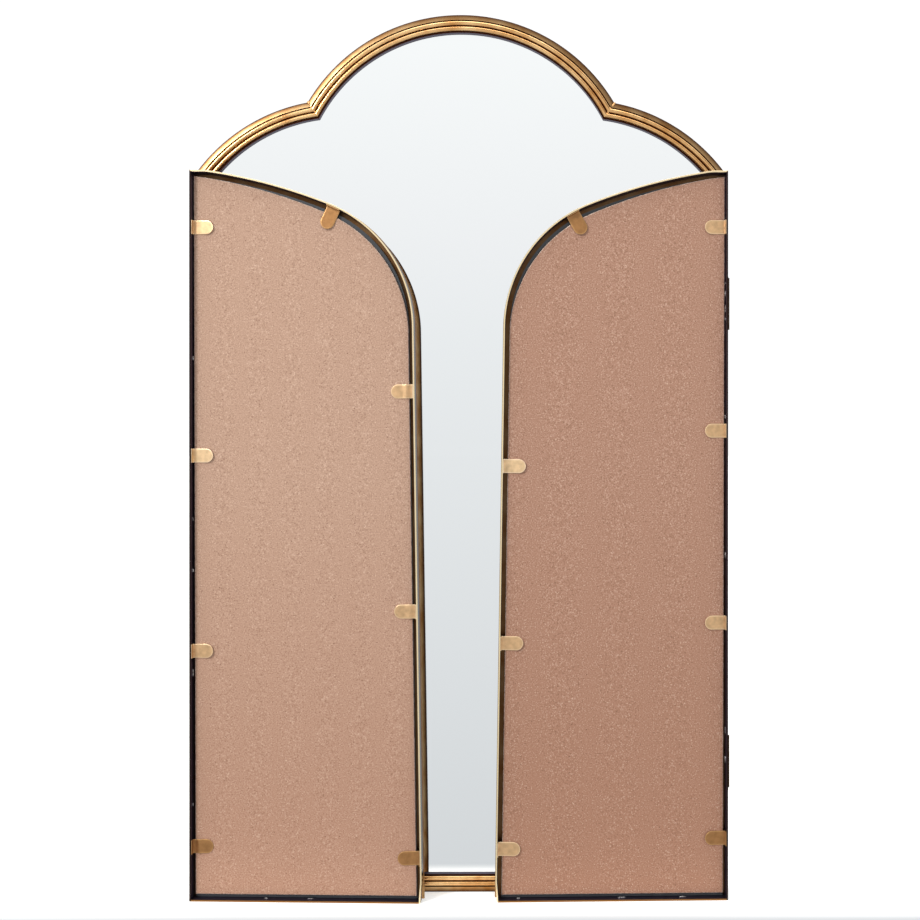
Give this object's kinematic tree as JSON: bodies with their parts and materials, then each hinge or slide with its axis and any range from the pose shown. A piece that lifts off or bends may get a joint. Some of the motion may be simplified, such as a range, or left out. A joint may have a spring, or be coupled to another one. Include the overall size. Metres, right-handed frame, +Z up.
{
  "type": "vanity mirror",
  "caption": "Free-standing folding table mirror: a trefoil-arched centre panel with two hinged wings in ribbed brass-coloured frames.",
  "frame": {"origin": "middle of the centre panel's underside, halfway through its depth", "axes": "+Z up, X across the panel, the centre mirror faces -Y"},
  "size_m": [0.4278, 0.0427, 0.7],
  "materials": {
    "frame_brass": "satin, aged",
    "clip_brass": "rolled strip",
    "hinge_brass": "satin",
    "mirror_glass": "silvered",
    "fibreboard": "raw fibreboard"
  },
  "bodies": {
    "centre_panel": {"centre_backing_board": "fibreboard", "centre_bottom_clip": "clip_brass", "centre_bottom_rail": "frame_brass", "centre_hinge_rivets": "hinge_brass", "centre_left_shoulder": "frame_brass", "centre_left_shoulder_clip": "clip_brass", "centre_left_stile": "frame_brass", "centre_left_stile_clip_1": "clip_brass", "centre_left_stile_clip_2": "clip_brass", "centre_left_stile_clip_3": "clip_brass", "centre_mirror_glass": "mirror_glass", "centre_right_shoulder": "frame_brass", "centre_right_shoulder_clip": "clip_brass", "centre_right_stile": "frame_brass", "centre_right_stile_clip_1": "clip_brass", "centre_right_stile_clip_2": "clip_brass", "centre_right_stile_clip_3": "clip_brass", "centre_top_arch": "frame_brass", "centre_top_clip": "clip_brass", "left_lower_hinge_centre_leaf": "hinge_brass", "left_lower_hinge_pin": "hinge_brass", "left_upper_hinge_centre_leaf": "hinge_brass", "left_upper_hinge_pin": "hinge_brass", "right_lower_hinge_centre_leaf": "hinge_brass", "right_lower_hinge_pin": "hinge_brass", "right_upper_hinge_centre_leaf": "hinge_brass", "right_upper_hinge_pin": "hinge_brass"},
    "left_wing": {"left_lower_hinge_wing_leaf": "hinge_brass", "left_upper_hinge_wing_leaf": "hinge_brass", "left_wing_arch": "frame_brass", "left_wing_backing_board": "fibreboard", "left_wing_bottom_rail": "frame_brass", "left_wing_hinge_clip_1": "clip_brass", "left_wing_hinge_clip_2": "clip_brass", "left_wing_hinge_clip_3": "clip_brass", "left_wing_hinge_clip_4": "clip_brass", "left_wing_hinge_rivets": "hinge_brass", "left_wing_hinge_stile": "frame_brass", "left_wing_inner_clip_1": "clip_brass", "left_wing_inner_clip_2": "clip_brass", "left_wing_inner_clip_3": "clip_brass", "left_wing_mirror_glass": "mirror_glass", "left_wing_top_clip": "clip_brass"},
    "right_wing": {"right_lower_hinge_wing_leaf": "hinge_brass", "right_upper_hinge_wing_leaf": "hinge_brass", "right_wing_arch": "frame_brass", "right_wing_backing_board": "fibreboard", "right_wing_bottom_rail": "frame_brass", "right_wing_hinge_clip_1": "clip_brass", "right_wing_hinge_clip_2": "clip_brass", "right_wing_hinge_clip_3": "clip_brass", "right_wing_hinge_clip_4": "clip_brass", "right_wing_hinge_rivets": "hinge_brass", "right_wing_hinge_stile": "frame_brass", "right_wing_inner_clip_1": "clip_brass", "right_wing_inner_clip_2": "clip_brass", "right_wing_inner_clip_3": "clip_brass", "right_wing_mirror_glass": "mirror_glass", "right_wing_top_clip": "clip_brass"}
  },
  "joints": [
    {"name": "left_wing_hinge", "type": "hinge", "parent": "centre_panel", "child": "left_wing", "pos_m": [-0.2123, -0.01, 0.3], "axis": [0, 0, -1], "range_deg": [-2.1, 177.9]},
    {"name": "right_wing_hinge", "type": "hinge", "parent": "centre_panel", "child": "right_wing", "pos_m": [0.2123, -0.01, 0.3], "axis": [0, 0, 1], "range_deg": [-1.3, 178.7]}
  ]
}
